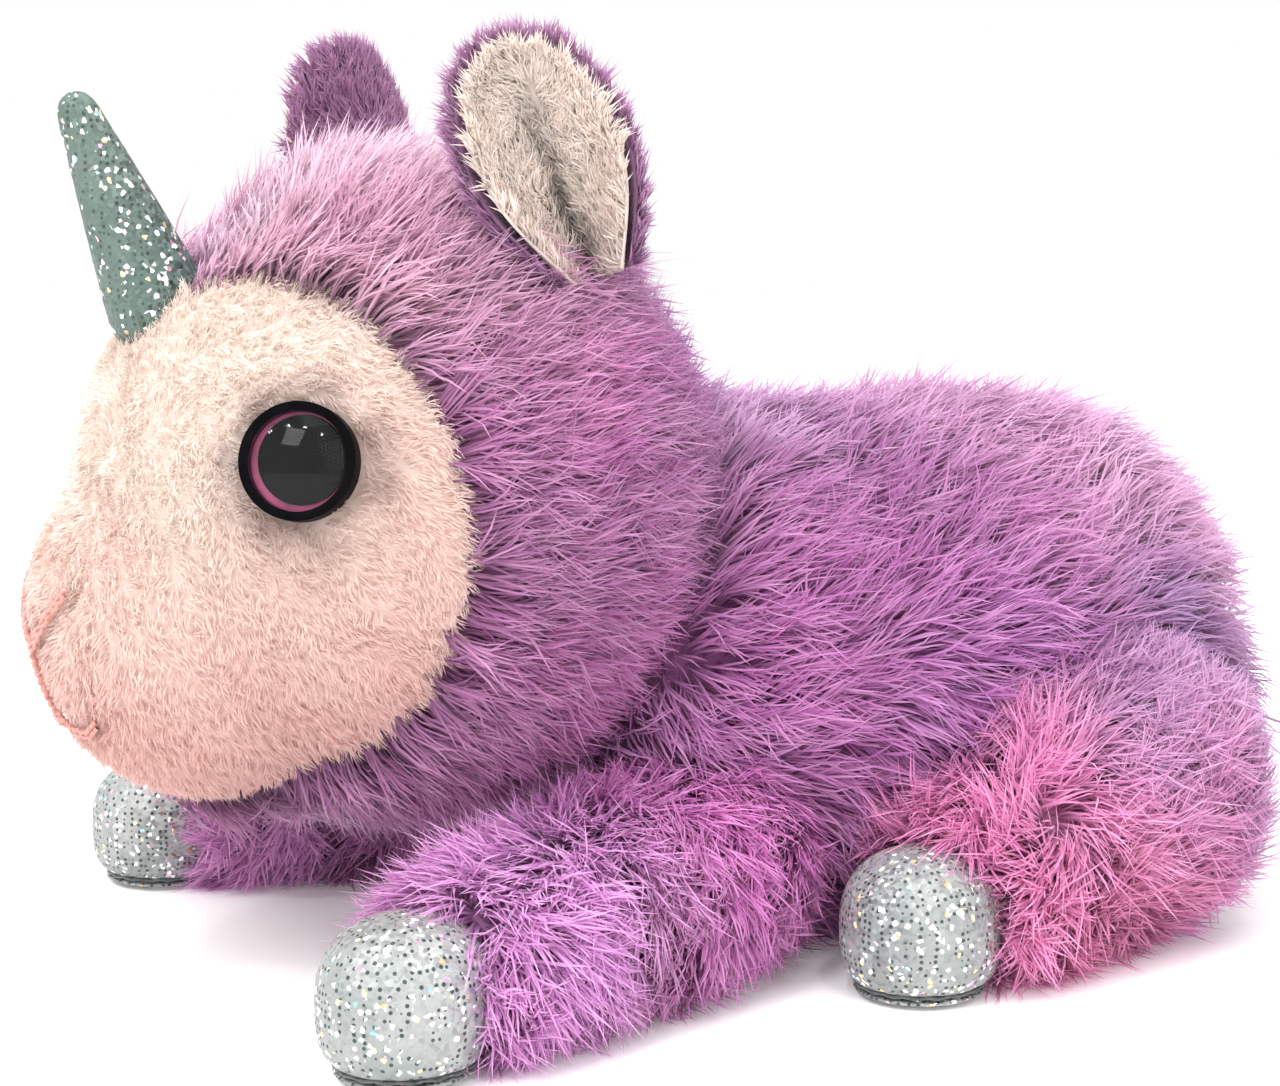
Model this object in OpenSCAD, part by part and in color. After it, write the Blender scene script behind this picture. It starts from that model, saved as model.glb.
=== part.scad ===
// Plush unicorn lying on its belly: a sewn fur animal about 200 mm long, filled with
// fibre and a bag of pellets, with its head, horn, ears, legs and tail each able to move.
// Millimetres. It faces -Y, its own left is +X, +Z is up and it rests on z = 0.

/* [Cloth and filling] */
// Thickness of the long fur cloth with its pile pressed down
fur_t = 3; // [2:0.1:3.4]
// Thickness of the glitter cloth on the horn and hooves
glitter_t = 1.4; // [1:0.1:2]
// Thickness of the flat cloth panel under the belly
belly_t = 2.4; // [1.6:0.1:3]

/* [Torso] */
// Radius of the body over the cover
torso_r = 42; // [41:0.5:43]
// Length of the body from chest to rump
torso_l = 118; // [114:1:120]
// Height of the middle of the body above the ground
torso_z = 34; // [33:0.5:35]
// Radius of the rounding at the two ends of the body
torso_round = 30; // [28:0.5:32]
// Radius of the pellet bag in the belly
bag_r = 21; // [18:1:22]

/* [Head] */
// Radius of the back of the head over the cover
skull_r = 44; // [43:0.5:45]
// Height of the middle of the head above the ground
head_z = 67; // [66:0.5:68]
// Distance of the middle of the head in front of the middle of the body
head_gap = 79; // [78:0.5:80]
// Radius of the muzzle
muzzle_r = 27; // [25:0.5:28]
// How far round from straight ahead the middle of each cheek is, in degrees
cheek_turn = 34; // [30:1:38]
// How far the face cloth reaches round from the middle of each cheek, in degrees
cheek_reach = 50; // [48:1:52]

/* [Eyes] */
// Diameter of the black rim of an eye
eye_d = 15; // [13:0.5:16]
// How far round from straight ahead each eye looks, in degrees
eye_turn = 55; // [50:1:60]
// How far above level each eye looks, in degrees
eye_lift = 11; // [6:1:14]
// Diameter of the pupil
pupil_d = 11.4; // [9:0.2:11.6]

/* [Horn] */
// Length of the horn from its ball end to its tip
horn_l = 31; // [28:1:36]
// Diameter of the horn where it leaves the head
horn_d = 14; // [13:0.5:15]
// Diameter of the rounded tip of the horn
horn_tip_d = 6.4; // [5:0.2:8]
// How far the horn leans forward, in degrees
horn_lean = 22; // [18:1:26]

/* [Ears] */
// Height of an ear above its seam
ear_h = 36; // [32:1:38]
// Width of an ear across its curl
ear_w = 24; // [20:1:25]
// How far an ear leans forward, in degrees
ear_lean = 20; // [16:1:24]
// How far round from straight ahead the open side of an ear faces, in degrees
ear_turn = 75; // [70:1:80]

/* [Legs] */
// Radius of a front leg at the shoulder
shoulder_r = 15; // [14:0.5:15.5]
// Radius of a back leg at the haunch
haunch_r = 23; // [21:0.5:23]
// Radius of a hoof
hoof_r = 11.2; // [10.5:0.1:11.4]
// Length of a front leg from the shoulder to the middle of the hoof
front_l = 57; // [54:1:58]
// Length of a back leg from the haunch to the middle of the hoof
back_l = 53; // [52:1:54]

/* [Tail] */
// Length of the tail from its seam
tail_l = 30; // [26:1:32]
// Radius of the tail where it is fullest
tail_r = 8; // [6:0.5:8]

/* [Hidden] */
$fn = 180;
big = 300;
skin_gap = 0.2;
move_gap = 0.5;
arc_steps = 6;

// Lengthwise places. The whole toy is centred on y = 0 from muzzle to tail.
torso_y = 25.2;
head_y = torso_y - head_gap;
head_mid = [0, head_y, head_z];
muzzle_mid = [0, head_y - 24, head_z - 15];
face_plane = skull_r * cos(cheek_reach);
cheek_dip = -3;

// Belly: the row of closing stitches lies in a groove, so nothing stands below the panel.
stitch_w = 3;
stitch_run = 36;
stitch_r = 0.35;
stitch_z = 0.6;
groove_room = 0.4;
groove_h = 1.1;

// Pellet bag: low in the body, between the front and the back legs.
bag_h = 9;
bag_t = 0.8;
bag_y = torso_y - 6;
bag_z = belly_t + 4 + bag_h;

// Neck: a shallow dish between the round of the head and the hollow in the chest.
neck_in = skull_r + 0.4;
neck_out = neck_in + 3.6;
socket_r = neck_out + 0.4;
neck_drop = 27;
neck_spread = 26;
neck_fill_spread = 19;

// Horn: its ball end sits in the brow on the middle line.
horn_lift = 40;
horn_ball_r = horn_d / 2 + 0.3;
horn_mid = head_mid + (skull_r - 2.5) * [0, -cos(horn_lift), sin(horn_lift)];
horn_swing = 10;

// Ears: their seams sit just proud of the hood.
ear_az = 121;
ear_el = 40;
ear_stand = 3.4;
ear_clear = 1.8;
ear_curl_r = 15;
ear_cloth = 1.8;
ear_seam = head_mid + (skull_r + ear_stand)
    * [cos(ear_el) * sin(ear_az), -cos(ear_el) * cos(ear_az), sin(ear_el)];

// Legs: where each is rooted, how far it turns out and how far it slopes down.
shoulder = [33, torso_y - 43, 16];
front_turn = 18.4;
front_drop = 6;
room_flare = 1.5;
haunch = [39, torso_y + 27, 22.6];
back_turn = 17.7;
back_drop = 13.6;
ankle_back = 9;
sole_t = 1.8;

// Tail: rooted high on the rump.
tail_root_r = 4.6;
tail_mid = [0, torso_y + torso_l / 2 + tail_root_r + 0.4, torso_z + 16];
tail_slope = 16;

// Eye parts, measured outward from the surface of the face.
eye_seat = -0.7;
iris_d = eye_d - 2.4;
pupil_out = 0.4;
pupil_up = 0.2;
post_d = 3;
post_l = 9;
washer_d = 11;
washer_t = 1.2;

fur = [0.74, 0.47, 0.72];
fur_light = [0.88, 0.66, 0.84];
cream = [0.97, 0.88, 0.82];
glitter = [0.66, 0.71, 0.69];
fibre = [0.95, 0.95, 0.93];
thread = [0.62, 0.45, 0.42];
black = [0.05, 0.05, 0.05];

// Rounded loaf profile: radius against length, for turning about its long axis.
function loaf(r, half, p, n) = [for (i = [0 : n]) let (a = -90 + 180 * i / n)
    [r * pow(abs(cos(a)), 2 / p), half * sign(sin(a)) * pow(abs(sin(a)), 2 / p)]];

// Profile of a limb: a ball at the root, straight sides, and a smaller ball at the end.
function limb(r1, r2, l) = let (t = asin((r1 - r2) / l)) concat(
    [for (i = [0 : arc_steps]) let (a = -90 + (90 + t) * i / arc_steps)
        [r1 * cos(a), r1 * sin(a)]],
    [for (i = [0 : arc_steps]) let (a = t + (90 - t) * i / arc_steps)
        [r2 * cos(a), l + r2 * sin(a)]]);

module mirrored(right) {
    if (right) mirror([1, 0, 0]) children();
    else children();
}

module above(z) {
    translate([-big / 2, -big / 2, z]) cube(big);
}

// Frame on the head: +Z points out at azimuth az and elevation el, +Y up the face.
module on_head(az, el, out) {
    translate(head_mid) rotate([0, 0, az]) rotate([90 - el, 0, 0])
        translate([0, 0, out]) children();
}

// Torso

module torso_form(inset) {
    corner = torso_round - inset;
    side = torso_r - torso_round;
    end = torso_l / 2 - torso_round;
    translate([0, torso_y, torso_z]) rotate([-90, 0, 0]) rotate_extrude() intersection() {
        union() {
            translate([side, end]) circle(corner);
            translate([side, -end]) circle(corner);
            translate([0, -end]) square([torso_r - inset, 2 * end]);
            translate([0, inset - torso_l / 2]) square([side, torso_l - 2 * inset]);
        }
        translate([0, -big / 2]) square(big);
    }
}

// Upright pocket for one limb, rounded at the root and flaring along the limb.
module limb_room(root, turn, r1, r2, l, grow) {
    translate([root[0], root[1], -1]) rotate([0, 0, turn])
        linear_extrude(root[2] + r1 + grow + 1) {
            circle(r1 + grow);
            polygon([[-r1 - room_flare - grow, 0], [r1 + room_flare + grow, 0],
                [r2 + room_flare + grow, -l], [-r2 - room_flare - grow, -l]]);
        }
}

// The body with room taken out for the head, the neck and the legs on the given sides.
module torso_solid(inset, sides) {
    difference() {
        torso_form(inset);
        translate(head_mid) sphere(socket_r + inset);
        for (right = sides) mirrored(right) {
            limb_room(shoulder, front_turn, shoulder_r, hoof_r, front_l, move_gap + inset);
            limb_room(haunch, back_turn, haunch_r, hoof_r, back_l, move_gap + inset);
        }
    }
}

module torso_cover(right) {
    color(fur) mirrored(right) intersection() {
        difference() {
            torso_solid(0, [false]);
            torso_solid(fur_t, [false]);
        }
        translate([skin_gap / 2, -big / 2, 0]) cube(big);
    }
}

module belly_panel() {
    color(fur_light) difference() {
        intersection() {
            torso_solid(fur_t + skin_gap, [false, true]);
            above(0);
            translate([0, 0, belly_t - big]) above(0);
        }
        translate([-stitch_w / 2 - groove_room, torso_y - stitch_run / 2 - 1.5, -1])
            cube([stitch_w + 2 * groove_room, stitch_run + 3, groove_h + 1]);
    }
}

// Ladder stitches that close the opening the toy was filled through.
module belly_stitches() {
    color(thread) for (y = [-stitch_run / 2 : 3 : stitch_run / 2])
        translate([-stitch_w / 2, torso_y + y, stitch_z]) rotate([0, 90, 0])
            cylinder(h = stitch_w, r = stitch_r, $fn = 16);
}

module torso_stuffing() {
    color(fibre) difference() {
        intersection() {
            torso_solid(fur_t + skin_gap, [false, true]);
            above(belly_t + skin_gap);
        }
        pellet_form(skin_gap);
    }
}

module pellet_form(extra) {
    translate([0, bag_y, bag_z]) rotate_extrude()
        polygon(loaf(bag_r + extra, bag_h + extra, 2.4, 12));
}

module pellet_bag() {
    color([0.9, 0.88, 0.84]) difference() {
        pellet_form(0);
        pellet_form(-bag_t);
    }
}

module pellets() {
    color([0.85, 0.86, 0.9]) pellet_form(-bag_t - skin_gap);
}

// Neck

module neck_dish(wide, from_r, to_r) {
    intersection() {
        difference() {
            translate(head_mid) sphere(to_r);
            translate(head_mid) sphere(from_r);
        }
        on_head(180, -neck_drop, 0) cylinder(h = 60, r1 = 0, r2 = 60 * tan(wide));
    }
}

module neck_cover() {
    color(fur) difference() {
        neck_dish(neck_spread, neck_in, neck_out);
        neck_dish(neck_fill_spread + 0.5, neck_in - 1, neck_out + 1);
    }
}

module neck_stuffing() {
    color(fibre) neck_dish(neck_fill_spread, neck_in, neck_out);
}

// Head

module head_form(inset) {
    translate(head_mid) sphere(skull_r - inset);
    translate(muzzle_mid) sphere(muzzle_r - inset);
}

// The front of the head that the face cloth covers, moved out by gap.
module face_zone(gap) {
    for (side = [-1, 1])
        on_head(side * cheek_turn, cheek_dip, face_plane + gap)
            translate([-big / 2, -big / 2, 0]) cube(big);
}

module head_shell() {
    difference() {
        head_form(0);
        head_form(fur_t);
        horn_room(0);
    }
}

// Room for the horn's ball end and, flaring outward, for every tilt the horn takes.
module horn_room(extra) {
    room_h = 16;
    room_r = horn_ball_r + move_gap + extra;
    translate(horn_mid) rotate([horn_lean, 0, 0]) {
        sphere(room_r);
        cylinder(h = room_h, r1 = room_r - 0.05, r2 = room_r + room_h * tan(horn_swing) * 0.6);
    }
}

module hood(right) {
    color(fur_light) mirrored(right) intersection() {
        difference() {
            head_shell();
            face_zone(-skin_gap);
        }
        translate([skin_gap / 2, -big / 2, 0]) cube(big);
    }
}

module face_cover() {
    color(cream) difference() {
        intersection() {
            head_shell();
            face_zone(0);
        }
        for (side = [-1, 1]) on_head(side * eye_turn, eye_lift, skull_r) {
            translate([0, 0, eye_seat]) cylinder(h = 10, d = eye_d + 0.6);
            translate([0, 0, -10]) cylinder(h = 12, d = post_d + 0.4);
        }
    }
}

module head_stuffing() {
    color(fibre) difference() {
        head_form(fur_t + skin_gap);
        horn_room(skin_gap);
        for (side = [-1, 1]) on_head(side * eye_turn, eye_lift, skull_r) {
            translate([0, 0, -fur_t - washer_t - 1]) cylinder(h = 10, d = washer_d + 1);
            translate([0, 0, -post_l - 1]) cylinder(h = 10, d = post_d + 1);
        }
    }
}

// One eye, built on a post that passes through the face cloth into the washer.
module eye_rim(side) {
    color(black) on_head(side * eye_turn, eye_lift, skull_r) difference() {
        union() {
            translate([0, 0, eye_seat + 0.1]) cylinder(h = 3, d = eye_d);
            translate([0, 0, -post_l]) cylinder(h = post_l, d = post_d);
        }
        translate([0, 0, eye_seat + 1.1]) cylinder(h = 4, d = iris_d + 0.1);
    }
}

module eye_iris(side) {
    color([0.72, 0.35, 0.5]) on_head(side * eye_turn, eye_lift, skull_r)
        translate([0, 0, eye_seat + 1.15]) cylinder(h = 0.5, d = iris_d);
}

module eye_pupil(side) {
    color(black) on_head(side * eye_turn, eye_lift, skull_r)
        translate([side * pupil_out, pupil_up, eye_seat + 1.7]) cylinder(h = 0.3, d = pupil_d);
}

module eye_lens(side) {
    dome_r = 10;
    color([0.8, 0.85, 0.85, 0.5]) on_head(side * eye_turn, eye_lift, skull_r) intersection() {
        translate([0, 0, eye_seat + 2.05]) cylinder(h = 5, d = iris_d);
        translate([0, 0, eye_seat + 4.9 - dome_r]) sphere(dome_r);
    }
}

module eye_washer(side) {
    color([0.9, 0.9, 0.88]) on_head(side * eye_turn, eye_lift, skull_r)
        translate([0, 0, -fur_t - washer_t - 0.4]) difference() {
            cylinder(h = washer_t, d = washer_d);
            translate([0, 0, -1]) cylinder(h = washer_t + 2, d = post_d + 0.1);
        }
}

// A thread laid along the muzzle from azimuth 0 and elevation el, heading at roll.
module thread_arc(el, roll, sweep) {
    thread_r = 0.6;
    translate(muzzle_mid) rotate([90 - el, 0, 0]) rotate([0, 0, roll])
        rotate([0, -90, -90]) rotate_extrude(angle = sweep)
            translate([muzzle_r + thread_r + 0.05, 0]) circle(thread_r, $fn = 24);
}

module nose_stitch() {
    color(thread) {
        thread_arc(-8, 52, 26);
        thread_arc(-8, 128, 26);
        thread_arc(-8, -90, 17);
    }
}

module mouth_stitch() {
    color(thread) {
        thread_arc(-29, -6, 24);
        thread_arc(-29, 186, 24);
    }
}

// Horn

module horn_solid(inset) {
    translate(horn_mid) rotate([horn_lean, 0, 0]) rotate_extrude()
        polygon(limb(horn_ball_r - inset, horn_tip_d / 2 - inset, horn_l - horn_tip_d / 2));
}

module horn_cover() {
    color(glitter) difference() {
        horn_solid(0);
        horn_solid(glitter_t);
    }
}

module horn_stuffing() {
    color(fibre) horn_solid(glitter_t + skin_gap);
}

// Ears

// Half width of the ear at height fraction s: narrow seam, full middle, round tip.
function ear_half(s) = ear_w / 2 * (0.55 + 0.45 * sin(180 * min(s * 1.05, 0.5)))
    * pow(max(0, 1 - pow(s, 3.2)), 0.5);

module ear_leaf(trim) {
    steps = 16;
    polygon(concat(
        [for (i = [0 : steps]) let (s = i / steps)
            [ear_half(s) * (1 - trim / ear_w * 2), ear_h * s * (1 - trim / ear_h)]],
        [for (i = [steps - 1 : -1 : 0]) let (s = i / steps)
            [-ear_half(s) * (1 - trim / ear_w * 2), ear_h * s * (1 - trim / ear_h)]]));
}

// One layer of the curled ear, between two radii about the middle of the curl. Its foot
// is cut round so it clears the hood at every tilt.
module ear_layer(right, from_r, to_r, trim) {
    mirrored(right) difference() {
        translate(ear_seam) rotate([ear_lean, 0, 0]) rotate([0, 0, ear_turn]) intersection() {
            translate([0, big / 2, 0]) rotate([90, 0, 0]) linear_extrude(big) ear_leaf(trim);
            translate([0, -ear_curl_r + 1, -1]) difference() {
                cylinder(h = ear_h + 2, r = to_r);
                translate([0, 0, -1]) cylinder(h = ear_h + 4, r = from_r);
            }
            translate([-big / 2, -ear_curl_r + 1, -big / 2]) cube(big);
        }
        translate(head_mid) sphere(skull_r + ear_clear);
    }
}

module ear_back(right) {
    color(fur) ear_layer(right, ear_curl_r, ear_curl_r + ear_cloth, 0);
}

module ear_lining(right) {
    color(cream) ear_layer(right, ear_curl_r - ear_cloth - skin_gap,
        ear_curl_r - skin_gap, 1);
}

// Legs

module limb_at(root, turn, drop) {
    translate(root) rotate([0, 0, turn]) rotate([90 + drop, 0, 0]) children();
}

// Places a limb: kind 0 is the front leg and kind 1 the back leg.
module leg_frame(kind) {
    if (kind == 0) limb_at(shoulder, front_turn, front_drop) children();
    else limb_at(haunch, back_turn, back_drop) children();
}

module leg_solid(kind, inset) {
    root_r = kind == 0 ? shoulder_r : haunch_r;
    length = kind == 0 ? front_l : back_l;
    intersection() {
        leg_frame(kind) rotate_extrude()
            polygon(limb(root_r - inset, hoof_r - inset, length));
        above(inset);
    }
}

// Everything past the ankle seam, moved along the leg by shift.
module past_ankle(kind, shift) {
    length = kind == 0 ? front_l : back_l;
    leg_frame(kind) translate([-big / 2, -big / 2, length - ankle_back + shift]) cube(big);
}

module leg_cover(kind, right) {
    color(fur) mirrored(right) difference() {
        leg_solid(kind, 0);
        leg_solid(kind, fur_t);
        past_ankle(kind, 0);
    }
}

module hoof(kind, right) {
    color(glitter) mirrored(right) difference() {
        intersection() {
            leg_solid(kind, 0);
            past_ankle(kind, skin_gap);
            above(sole_t + skin_gap);
        }
        leg_solid(kind, glitter_t);
    }
}

module sole(kind, right) {
    color(glitter * 0.9) mirrored(right) difference() {
        intersection() {
            leg_solid(kind, 0);
            past_ankle(kind, skin_gap);
        }
        above(sole_t);
    }
}

module leg_stuffing(kind, right) {
    color(fibre) mirrored(right) {
        difference() {
            leg_solid(kind, fur_t + skin_gap);
            past_ankle(kind, 0);
        }
        intersection() {
            leg_solid(kind, glitter_t + skin_gap);
            past_ankle(kind, 0);
            above(sole_t + skin_gap);
        }
    }
}

// Tail

module tail_solid(inset) {
    translate(tail_mid) rotate([180 + tail_slope, 0, 0]) rotate_extrude()
        polygon(limb(tail_root_r - inset, tail_r - inset, tail_l));
}

module tail_cover() {
    color(fur_light) difference() {
        tail_solid(0);
        tail_solid(fur_t);
    }
}

module tail_stuffing() {
    color(fibre) tail_solid(fur_t + skin_gap);
}

torso_cover(false);  // torso_cover_left
torso_cover(true);  // torso_cover_right
belly_panel();
belly_stitches();
torso_stuffing();
pellet_bag();
pellets();
neck_cover();
neck_stuffing();
hood(false);  // hood_left
hood(true);  // hood_right
face_cover();
head_stuffing();
eye_rim(1);  // eye_left_rim
eye_iris(1);  // eye_left_iris
eye_pupil(1);  // eye_left_pupil
eye_lens(1);  // eye_left_lens
eye_washer(1);  // eye_left_washer
eye_rim(-1);  // eye_right_rim
eye_iris(-1);  // eye_right_iris
eye_pupil(-1);  // eye_right_pupil
eye_lens(-1);  // eye_right_lens
eye_washer(-1);  // eye_right_washer
nose_stitch();
mouth_stitch();
horn_cover();
horn_stuffing();
ear_back(false);  // ear_left_back
ear_lining(false);  // ear_left_lining
ear_back(true);  // ear_right_back
ear_lining(true);  // ear_right_lining
leg_cover(0, false);  // front_leg_left_cover
leg_stuffing(0, false);  // front_leg_left_stuffing
hoof(0, false);  // front_hoof_left
sole(0, false);  // front_sole_left
leg_cover(0, true);  // front_leg_right_cover
leg_stuffing(0, true);  // front_leg_right_stuffing
hoof(0, true);  // front_hoof_right
sole(0, true);  // front_sole_right
leg_cover(1, false);  // back_leg_left_cover
leg_stuffing(1, false);  // back_leg_left_stuffing
hoof(1, false);  // back_hoof_left
sole(1, false);  // back_sole_left
leg_cover(1, true);  // back_leg_right_cover
leg_stuffing(1, true);  // back_leg_right_stuffing
hoof(1, true);  // back_hoof_right
sole(1, true);  // back_sole_right
tail_cover();
tail_stuffing();
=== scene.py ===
import bmesh
import bpy
import math
import numpy as np
from mathutils import Matrix, Vector, kdtree


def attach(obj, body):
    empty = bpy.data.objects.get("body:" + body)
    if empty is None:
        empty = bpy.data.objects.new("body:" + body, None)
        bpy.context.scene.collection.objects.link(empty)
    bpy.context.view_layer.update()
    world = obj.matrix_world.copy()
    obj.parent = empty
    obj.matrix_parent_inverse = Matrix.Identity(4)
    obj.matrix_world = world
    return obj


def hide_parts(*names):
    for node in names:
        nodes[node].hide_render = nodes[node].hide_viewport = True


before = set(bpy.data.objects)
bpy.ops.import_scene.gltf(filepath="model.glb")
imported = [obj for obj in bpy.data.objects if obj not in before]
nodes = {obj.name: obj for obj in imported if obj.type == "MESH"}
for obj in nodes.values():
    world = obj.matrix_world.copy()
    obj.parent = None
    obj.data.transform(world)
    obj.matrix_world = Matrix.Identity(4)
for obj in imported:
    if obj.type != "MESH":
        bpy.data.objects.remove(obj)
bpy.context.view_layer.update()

# The torso is a loaf of long-pile fur cloth in two halves, sewn along the back and
# turned inside out, then filled with fibre. The skin is the cloth; the pile grows from it.
MM = 0.001
HEAD = np.array([0.0, -53.8, 67.0])
MUZZLE = np.array([0.0, -77.8, 52.0])
TORSO = np.array([0.0, 25.2, 34.0])


def alone(ob):
    bpy.ops.object.select_all(action="DESELECT")
    ob.select_set(True)
    bpy.context.view_layer.objects.active = ob


def points(ob):
    """Vertex places in millimetres."""
    co = np.empty(len(ob.data.vertices) * 3, np.float32)
    ob.data.vertices.foreach_get("co", co)
    return co.reshape(-1, 3).astype(float) / MM


def put_points(ob, mm):
    ob.data.vertices.foreach_set("co", (mm * MM).astype(np.float32).ravel())
    ob.data.update()


def facing(ob):
    no = np.empty(len(ob.data.vertices) * 3, np.float32)
    ob.data.vertices.foreach_get("normal", no)
    return no.reshape(-1, 3).astype(float)


def apply_all(ob):
    alone(ob)
    bpy.ops.object.convert(target="MESH")
    bpy.ops.object.transform_apply(location=True, rotation=True, scale=True)


def apply_smooth(ob):
    apply_all(ob)
    alone(ob)
    bpy.ops.object.shade_smooth()


def as_one(obs):
    """Joins objects into the first of them."""
    bpy.ops.object.select_all(action="DESELECT")
    for o in obs:
        o.select_set(True)
    bpy.context.view_layer.objects.active = obs[0]
    if len(obs) > 1:
        bpy.ops.object.join()
    return bpy.context.object


def ball(centre, radii, turn=(0, 0, 0), rings=24):
    bpy.ops.mesh.primitive_uv_sphere_add(
        segments=2 * rings, ring_count=rings, radius=1,
        location=[c * MM for c in centre],
        rotation=[math.radians(t) for t in turn],
        scale=[r * MM for r in radii])
    ob = bpy.context.object
    bpy.ops.object.transform_apply(location=True, rotation=True, scale=True)
    return ob


def drum(centre, half, radius, corner):
    """A long drum along Y with rounded ends."""
    ob = ball((0, 0, 0), (1, 1, 1), (90, 0, 0), 48)
    p = points(ob)
    lat = np.arcsin(np.clip(p[:, 1], -1, 1))
    across = np.linalg.norm(p[:, [0, 2]], axis=1) + 1e-9
    flat = np.clip((math.pi / 2 - np.abs(lat)) / 0.16, 0, 1)
    r = (radius - corner) * flat + corner * np.cos(lat)
    p[:, 0], p[:, 2] = p[:, 0] / across * r, p[:, 2] / across * r
    p[:, 1] = np.sign(lat) * (half - corner) + corner * np.sin(lat)
    put_points(ob, p + np.array(centre))
    return ob


def melt(name, obs, voxel, rounds):
    """Joins shapes into one even skin and smooths the joins away."""
    ob = as_one(obs)
    ob.name = ob.data.name = name
    m = ob.modifiers.new("even", "REMESH")
    m.mode, m.voxel_size = "VOXEL", voxel * MM
    s = ob.modifiers.new("smooth", "SMOOTH")
    s.factor, s.iterations = 0.5, rounds
    apply_smooth(ob)
    return ob


def push_from(p, centre, radius):
    """Presses points out of a ball."""
    v = p - centre
    d = np.linalg.norm(v, axis=1)
    inside = d < radius
    p[inside] = centre + v[inside] * (radius / np.maximum(d[inside], 1e-6))[:, None]
    return p


def along(p, a, b):
    """Share of the way from a to b, and the nearest point of that line, for each point."""
    ab = b - a
    t = np.clip((p - a) @ ab / (ab @ ab), 0, 1)
    return t, a + t[:, None] * ab


# Each leg: its root, its turn and drop in degrees, its length and the radius of its root.
LEGS = {
    "front": (np.array([33.0, -17.8, 16.0]), 18.4, 6.0, 57.0, 15.0),
    "back": (np.array([39.0, 52.2, 22.6]), 17.7, 13.6, 53.0, 23.0),
}
HOOF_R = 11.2
# A skin lies this far inside its CAD cover, and the torso this far off each leg, in mm.
SKIN_IN = 2.4
LEG_GAP = 1.0


def leg_ends(kind, side):
    root, turn, drop, length, r = LEGS[kind]
    t, d = math.radians(turn), math.radians(drop)
    way = np.array([math.sin(t) * math.cos(d), -math.cos(t) * math.cos(d), -math.sin(d)])
    flip = np.array([side, 1, 1])
    return root * flip, (root + way * length) * flip, way * flip, r


def keep_clear(p):
    """Presses the torso's skin away from the head and the four legs."""
    p = push_from(p, HEAD, 46.5)
    for kind in LEGS:
        for side in (1, -1):
            a, b, _, r = leg_ends(kind, side)
            t, q = along(p, a, b)
            v = p - q
            d = np.linalg.norm(v, axis=1)
            want = r + (HOOF_R - r) * t + LEG_GAP - SKIN_IN
            inside = d < want
            p[inside] = q[inside] + v[inside] * (want / np.maximum(d, 1e-6))[inside, None]
    return p


torso = melt("torso_skin", [drum(TORSO, 57.0, 40.0, 28.0)], 2.4, 5)
p = points(torso)
p[:, 2] = np.maximum(p[:, 2], 1.2)
put_points(torso, keep_clear(p))


def colour(code):
    """An sRGB hex colour as linear values."""
    s = [int(code[i:i + 2], 16) / 255 for i in (1, 3, 5)]
    return [c / 12.92 if c <= 0.04045 else ((c + 0.055) / 1.055) ** 2.4 for c in s]


def smooth_noise(p, size, seed):
    """Soft noise from -1 to 1 about size millimetres across."""
    rng = np.random.default_rng(seed)
    out = np.zeros(len(p))
    for _ in range(7):
        k = rng.normal(size=3)
        k *= rng.uniform(0.6, 1.5) * 2 * math.pi / (size * np.linalg.norm(k))
        out += np.sin(p @ k + rng.uniform(0, 2 * math.pi))
    return out / 3.2


def drift(p, size, seed):
    """Soft noise in all three directions."""
    return np.stack([smooth_noise(p, size, seed + i) for i in range(3)], 1)


def dye(p, patches, base, seed):
    """Patches of colour, from the tie-dyeing and from painted light and shade: each patch is (place,
    radius in mm, colour), blended softly over base.
    """
    q = p + drift(p, 26, seed) * 7
    weight = np.full(len(p), 0.35)
    out = np.tile(colour(base), (len(p), 1)) * 0.35
    for place, size, code in patches:
        w = np.exp(-2.0 * np.sum((q - np.array(place)) ** 2, 1) / size ** 2)
        out += w[:, None] * np.array(colour(code))
        weight += w
    return out / weight[:, None]


def both_sides(patches):
    return patches + [((-x, y, z), r, c) for (x, y, z), r, c in patches if x > 8]


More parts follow.
